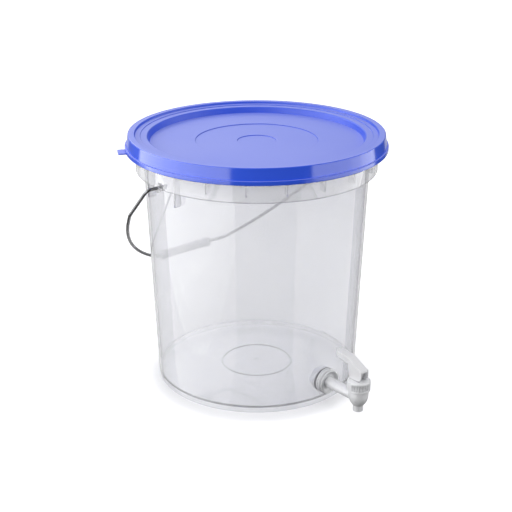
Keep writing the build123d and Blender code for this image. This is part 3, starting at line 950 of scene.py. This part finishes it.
def bailPath():
    # the wire's line in the bail's own plane: x across the bucket, y down from the pivots
    size = bailSizes
    drop = (bailMiddle - pivotPoint).length / mm
    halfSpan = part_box("bail_wire")[1].x / mm - size["wireRadius"]
    bowSpan = halfSpan - size["bowInset"]
    bowDrop = drop - size["bowRise"]
    upperRun = math.hypot(size["bowInset"], bowDrop - size["legDrop"])
    lowerRun = math.hypot(bowSpan - size["kinkSpan"], size["bowRise"])
    upperLean = math.atan2(size["bowInset"], bowDrop - size["legDrop"])
    lowerLean = math.atan2(bowSpan - size["kinkSpan"], size["bowRise"])
    bowBend = size["bowShare"] * min(upperRun, lowerRun) / math.tan((lowerLean - upperLean) / 2)
    wireEnd = collarInner - size["headGap"] - size["headLength"]
    side = [
        (wireEnd, 0, 0),
        (halfSpan, 0, size["earBend"]),
        (halfSpan, size["legDrop"], size["legBend"]),
        (bowSpan, bowDrop, bowBend),
        (size["kinkSpan"], drop, size["kinkBend"]),
    ]
    otherSide = [(-x, y, bend) for x, y, bend in reversed(side)]
    down = (bailMiddle - pivotPoint).normalized()
    flat = roundedOutline(side + otherSide, steps=size["bendSteps"])
    return [pivotPoint + Vector((x, 0, 0)) + down * y for x, y in flat]


def makeTubeTree():
    # a round wire along a line of edges
    tree, source, target = newTree(
        "bentWire",
        "GeometryNodeTree",
        [
            ("Line", "NodeSocketGeometry"),
            ("Radius", "NodeSocketFloat"),
            ("Sides", "NodeSocketInt"),
            ("Finish", "NodeSocketMaterial"),
        ],
        [("Geometry", "NodeSocketGeometry")],
    )
    toCurve = tree.nodes.new("GeometryNodeMeshToCurve")
    section = tree.nodes.new("GeometryNodeCurvePrimitiveCircle")
    sweep = tree.nodes.new("GeometryNodeCurveToMesh")
    realize = tree.nodes.new("GeometryNodeRealizeInstances")
    paint = tree.nodes.new("GeometryNodeSetMaterial")
    sweep.inputs["Fill Caps"].default_value = True
    link(tree, source.outputs["Line"], toCurve.inputs["Mesh"])
    link(tree, source.outputs["Radius"], section.inputs["Radius"])
    link(tree, source.outputs["Sides"], section.inputs["Resolution"])
    link(tree, toCurve.outputs[0], sweep.inputs["Curve"])
    link(tree, section.outputs[0], sweep.inputs["Profile Curve"])
    link(tree, sweep.outputs[0], realize.inputs[0])
    link(tree, realize.outputs[0], paint.inputs["Geometry"])
    link(tree, source.outputs["Finish"], paint.inputs["Material"])
    link(tree, paint.outputs[0], target.inputs[0])
    return tree


def makeBail():
    bm = bmesh.new()
    verts = [bm.verts.new(point) for point in bailPath()]
    for first, second in zip(verts, verts[1:]):
        bm.edges.new((first, second))
    wire = newPiece("bailWire", bm)
    size = bailSizes
    values = {"Radius": size["wireRadius"] * mm, "Sides": size["sides"], "Finish": wireSteel}
    runTree(wire, makeTubeTree(), values)
    headOuter = collarInner - size["headGap"]
    rim = size["headRadius"]
    outline = roundedOutline([
        (0, headOuter - size["headLength"], 0),
        (rim, headOuter - size["headLength"], size["headRound"]),
        (rim, headOuter, size["headEdge"]),
        (0, headOuter, 0),
    ])
    head = move(revolved("bailHeads", outline, size["headSides"]), Matrix.Rotation(quarterTurn, 4, "Y"))
    move(head, Matrix.Translation(pivotPoint))
    combine(wire, twinned(head), "UNION")
    finishSurface(wire, size["sharpAngle"])
    place(wire, wireSteel, "bail", "wire_steel", "bail_wire")


def makeGrip():
    size = gripSizes
    half = size["length"] / 2
    waist = half - size["collarLength"] - size["taperLength"]
    side = [
        (size["boreRadius"], half, size["boreEdge"]),
        (size["collarRadius"], half, size["endRound"]),
        (size["collarRadius"], half - size["collarLength"], size["collarRound"]),
        (size["radius"], waist, size["waistRound"]),
    ]
    outline = roundedOutline(side + [(x, -y, bend) for x, y, bend in reversed(side)], True)
    grip = revolved("bailGrip", outline, size["segments"], True)
    move(grip, Matrix.Rotation(quarterTurn, 4, "Y"))
    move(grip, Matrix.Translation(gripPoint))
    finishSurface(grip, size["sharpAngle"])
    place(grip, gripPlastic, "grip", "grip_plastic", "bail_grip")


makeBail()
makeGrip()
print("bail and grip made")


# Tap and seals: the CAD shapes with smooth faces

mergeReach = 0.001          # millimetres between points that are taken as one
cadPieces = {
    # CAD node, finish, body, slot, and the angle in degrees past which an edge stays crisp
    "tapBody": ("tap_body", tapPlastic, "bucket", "tap_plastic", 30),
    "tapNut": ("tap_nut", tapPlastic, "bucket", "tap_plastic", 30),
    "tapCap": ("tap_cap", tapPlastic, "bucket", "tap_plastic", 30),
    "outerWasher": ("outer_washer", sealRubber, "bucket", "seal_rubber", 30),
    "innerWasher": ("inner_washer", sealRubber, "bucket", "seal_rubber", 30),
    "lidGasket": ("lid_gasket", sealRubber, "lid", "seal_rubber", 30),
    "valveStem": ("valve_stem", tapPlastic, "stem", "tap_plastic", 30),
    "valveSeal": ("valve_seal", sealRubber, "stem", "seal_rubber", 30),
    "leverPin": ("lever_pin", springSteel, "stem", "spring_steel", 30),
    "valveSpring": ("valve_spring", springSteel, "bucket", "spring_steel", 60),
    "tapLever": ("tap_lever", leverPlastic, "lever", "lever_plastic", 30),
}


def cadCopy(name, node, sharpAngle):
    bm = bmesh.new()
    bm.from_mesh(frame["nodes"][node].data)
    bmesh.ops.remove_doubles(bm, verts=bm.verts, dist=mergeReach * mm)
    return finishSurface(newPiece(name, bm), sharpAngle)


cadCopies = {}
for name, (node, material, body, slot, sharpAngle) in cadPieces.items():
    cadCopies[name] = place(cadCopy(name, node, sharpAngle), material, body, slot, node)

spring = {"top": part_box("valve_spring")[1].z, "bottom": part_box("valve_spring")[0].z}
spring["keep"] = 1 - joints["valve_lift"]["range_m"][1] / (spring["top"] - spring["bottom"])
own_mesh(cadCopies["valveSpring"])
print("tap made:", len(cadCopies), "pieces")


# Stage

view = {
    "azimuth": -40.4,         # degrees round the bucket, from straight in front of the tap
    "pitch": 21.466,          # degrees down from level
    "distance": 1.33625,      # metres from the bucket's axis, measured level
    "height": 0.68033,        # metres above the floor
    "lens": 79.616,
    "sensor": 36.0,
    "shift": -0.735 / 512,    # the bucket's axis stands a little right of the picture's middle
}
floorLook = {
    "size": 40.0,
    "level": -0.0003,
    "bounceColour": (0.05, 0.05, 0.05),
    "seenColour": (0.745, 0.747, 0.77),
    "roughness": 0.9,
    # the rings' centre sits off the axis towards the camera's side, so the painted shadow is wider in front
    "glowAndShadowCentre": (-0.0091, -0.0107, 0.0),
    # metres from that centre and the paper's glow there, which holds painted shade and shadow: dimmer under
    # the bucket, a painted shadow round its foot, past the shadow, and far off
    "glowsWithShadow": [(0.1, 0.5), (0.122, 0.25), (0.15, 0.56), (2.5, 0.95)],
}
worldLook = {
    "fill": 0.35,                 # lights the surfaces from all round
    "upper": 2.45,                # met by reflections above riseTo
    "front": 0.2,                 # share of it on the camera's side
    "lowerFront": 0.03,           # met below riseFrom on the camera's side
    "lowerSides": 0.25,           # and on the far side
    "sideBlend": 0.3,
    "riseFrom": 0.1,
    "riseTo": 0.26,
    "leanRight": 0.35,            # share of the upper light right and left of the camera's line
    "leanLeft": 1.15,
    "leanFrom": -0.12,
    "leanTo": 0.03,
    "backdrop": 0.8,              # met below level, straight behind the bucket
    "backdropAzimuth": 49.6,      # degrees round from X
    "backdropHalfWidth": 29.5,
    "backdropBlend": 0.02,
    "horizonBlend": 0.05,
}
softboxes = {
    # panels as degrees round from the camera's side, then metres of height, then radiance;
    # those under sheen are met by reflections only
    "leftSoftbox": {
        "side": -1,
        "distance": 2.2,
        "panels": [
            (21.7, 118.0, -0.5, 2.0, 2.2),
            (21.7, 107.0, -0.85, -0.5, 2.2),
            (21.7, 107.0, -1.0, -0.85, 1.75),
            (21.7, 107.0, -1.15, -1.0, 1.3),
            (21.7, 107.0, -1.6, -1.15, 0.65),
        ],
        "sheen": [
            (50.0, 68.0, -0.5, 2.0, 0.25),
            (68.0, 84.0, -0.5, 2.0, 0.6),
            (84.0, 118.0, -0.5, 2.0, 0.9),
        ],
    },
    "rightSoftbox": {
        "side": 1,
        "distance": 2.2,
        "panels": [
            (46.0, 119.0, -0.5, 0.9, 1.9),
            (40.5, 119.0, -1.6, -0.5, 0.75),
        ],
        "sheen": [
            (85.0, 97.0, -0.5, 0.9, 0.3),
            (97.0, 119.0, -0.5, 0.9, 0.8),
        ],
    },
}
lowLamp = {
    "spot": (-0.8, 0.2, 0.16),
    "aim": (0, -0.17, 0.04),
    "width": 0.5,
    "height": 0.3,
    "radiance": 1.8,
}
upperLamps = {
    # degrees round from X and up from level, then metres; these and the low lamp show in no reflection
    "highSoftbox": {"azimuth": 275.0, "elevation": 78.0, "distance": 2.6, "size": 1.8, "radiance": 1.7},
    "frontSoftbox": {"azimuth": 240.0, "elevation": 28.0, "distance": 2.6, "size": 1.6, "radiance": 0.7},
    "sideSoftbox": {"azimuth": 312.0, "elevation": 18.0, "distance": 2.6, "size": 1.6, "radiance": 1.2},
}


def makeCamera():
    turn = math.radians(view["azimuth"])
    pitch = math.radians(view["pitch"])
    data = bpy.data.cameras.new("studioCamera")
    data.sensor_width = view["sensor"]
    data.lens = view["lens"]
    data.shift_x = view["shift"]
    camera = bpy.data.objects.new("studioCamera", data)
    bpy.context.scene.collection.objects.link(camera)
    camera.location = (
        math.sin(turn) * view["distance"],
        -math.cos(turn) * view["distance"],
        view["height"],
    )
    look = Vector((-math.sin(turn) * math.cos(pitch), math.cos(turn) * math.cos(pitch), -math.sin(pitch)))
    camera.rotation_mode = "QUATERNION"
    camera.rotation_quaternion = look.to_track_quat("-Z", "Y")
    bpy.context.scene.camera = camera


def seenDirectly(tree):
    # one for what the camera sees, also through the clear wall
    path = tree.nodes.new("ShaderNodeLightPath")
    return mathNode(tree, "MAXIMUM", path.outputs["Is Camera Ray"], path.outputs["Is Transmission Ray"])


def makeFloor():
    # pale floor that reads as white paper to the camera; it keeps the lamps' soft shadow, and its glow
    # holds a painted shadow under and round the bucket's foot
    look = floorLook
    half = look["size"] / 2
    bm = bmesh.new()
    corners = ((-half, -half), (half, -half), (half, half), (-half, half))
    bm.faces.new([bm.verts.new((x, y, look["level"])) for x, y in corners])
    floor = newPiece("studioFloor", bm)
    material, tree, surface, output = newMaterial("paperFloor")
    surface.inputs["Roughness"].default_value = look["roughness"]
    surface.inputs["Specular IOR Level"].default_value = 0
    surface.inputs["Emission Color"].default_value = (1, 1, 1, 1)
    seen = seenDirectly(tree)
    paper = tinted(tree, (*look["bounceColour"], 1), seen, (*look["seenColour"], 1))
    link(tree, paper, surface.inputs["Base Color"])
    spot = tree.nodes.new("ShaderNodeTexCoord").outputs["Object"]
    away = vectorNode(tree, "DISTANCE", spot, look["glowAndShadowCentre"])
    # painted shade and shadow: the glow dips under the bucket and round its foot
    glowWithShadow = look["glowsWithShadow"][0][1]
    for (start, first), (end, last) in zip(look["glowsWithShadow"], look["glowsWithShadow"][1:]):
        glowWithShadow = mathNode(tree, "ADD", rangeNode(tree, away, start, end, 0, last - first, smooth=True), glowWithShadow)
    link(tree, mathNode(tree, "MULTIPLY", seen, glowWithShadow), surface.inputs["Emission Strength"])
    floor.data.materials.append(material)
    floor.visible_glossy = False


def makeWorld():
    # white to the eye, an even fill for the surfaces, and a bright upper half for what is reflected
    look = worldLook
    world = bpy.data.worlds.new("studioWorld")
    bpy.context.scene.world = world
    world.use_nodes = True
    world.cycles.sampling_method = "NONE"
    tree = world.node_tree
    tree.nodes.clear()
    output = tree.nodes.new("ShaderNodeOutputWorld")
    background = tree.nodes.new("ShaderNodeBackground")
    direction = tree.nodes.new("ShaderNodeTexCoord").outputs["Generated"]
    height = axes(tree, direction)[2]
    heading = vectorNode(tree, "NORMALIZE", levelled(tree, direction))
    turn = math.radians(look["backdropAzimuth"])
    towards = vectorNode(tree, "DOT_PRODUCT", heading, (math.cos(turn), math.sin(turn), 0))
    across = vectorNode(tree, "DOT_PRODUCT", heading, (-math.sin(turn), math.cos(turn), 0))
    blend = look["sideBlend"]
    lower = rangeNode(tree, towards, -blend, blend, look["lowerFront"], look["lowerSides"])
    rise = rangeNode(tree, height, look["riseFrom"], look["riseTo"], lower, look["upper"])
    front = rangeNode(tree, towards, -blend, blend, look["front"])
    lean = rangeNode(tree, across, look["leanFrom"], look["leanTo"], look["leanRight"], look["leanLeft"])
    upper = mathNode(tree, "MULTIPLY", rise, mathNode(tree, "MULTIPLY", front, lean))
    edge = math.cos(math.radians(look["backdropHalfWidth"]))
    blend = look["backdropBlend"]
    backdrop = rangeNode(tree, towards, edge - blend, edge + blend, 0, look["backdrop"], smooth=True)
    sink = rangeNode(tree, height, look["horizonBlend"], -look["horizonBlend"])
    bright = mathNode(tree, "MAXIMUM", upper, mathNode(tree, "MULTIPLY", backdrop, sink))
    seen = seenDirectly(tree)
    glossy = tree.nodes.new("ShaderNodeLightPath").outputs["Is Glossy Ray"]
    reflected = mathNode(tree, "MULTIPLY", glossy, bright)
    hidden = mathNode(tree, "SUBTRACT", 1, mathNode(tree, "MAXIMUM", seen, glossy))
    filled = mathNode(tree, "MULTIPLY_ADD", hidden, look["fill"], reflected)
    link(tree, mathNode(tree, "ADD", filled, seen), background.inputs["Strength"])
    link(tree, background.outputs[0], output.inputs["Surface"])


def areaLamp(name, spot, aim, width, height, radiance):
    lamp = bpy.data.lights.new(name, "AREA")
    lamp.shape = "RECTANGLE"
    lamp.size = width
    lamp.size_y = height
    lamp.energy = math.pi * width * height * radiance
    holder = bpy.data.objects.new(name, lamp)
    bpy.context.scene.collection.objects.link(holder)
    holder.location = spot
    holder.rotation_mode = "QUATERNION"
    holder.rotation_quaternion = (Vector(aim) - Vector(spot)).to_track_quat("-Z", "Y")
    holder.visible_camera = False
    holder.visible_transmission = False
    return holder


def makeLamps():
    front = 270 + view["azimuth"]          # the camera's side, in degrees round from X
    for name, box in softboxes.items():
        for kind in ("panels", "sheen"):
            for near, far, low, high, radiance in box[kind]:
                turn = math.radians(front + box["side"] * (near + far) / 2)
                middle = (low + high) / 2
                spot = (math.cos(turn) * box["distance"], math.sin(turn) * box["distance"], middle)
                width = 2 * box["distance"] * math.tan(math.radians(far - near) / 2)
                panel = areaLamp(name, spot, (0, 0, middle), width, high - low, radiance)
                panel.visible_diffuse = kind == "panels"
    for name, lamp in upperLamps.items():
        turn = math.radians(lamp["azimuth"])
        tilt = math.radians(lamp["elevation"])
        level = math.cos(tilt) * lamp["distance"]
        spot = (math.cos(turn) * level, math.sin(turn) * level, math.sin(tilt) * lamp["distance"])
        holder = areaLamp(name, spot, (0, 0, 0), lamp["size"], lamp["size"], lamp["radiance"])
        holder.visible_glossy = False
    holder = areaLamp("lowSoftbox", **lowLamp)
    holder.visible_glossy = False


makeCamera()
makeFloor()
makeWorld()
makeLamps()
bpy.context.scene.view_settings.view_transform = "Standard"
print("stage made")
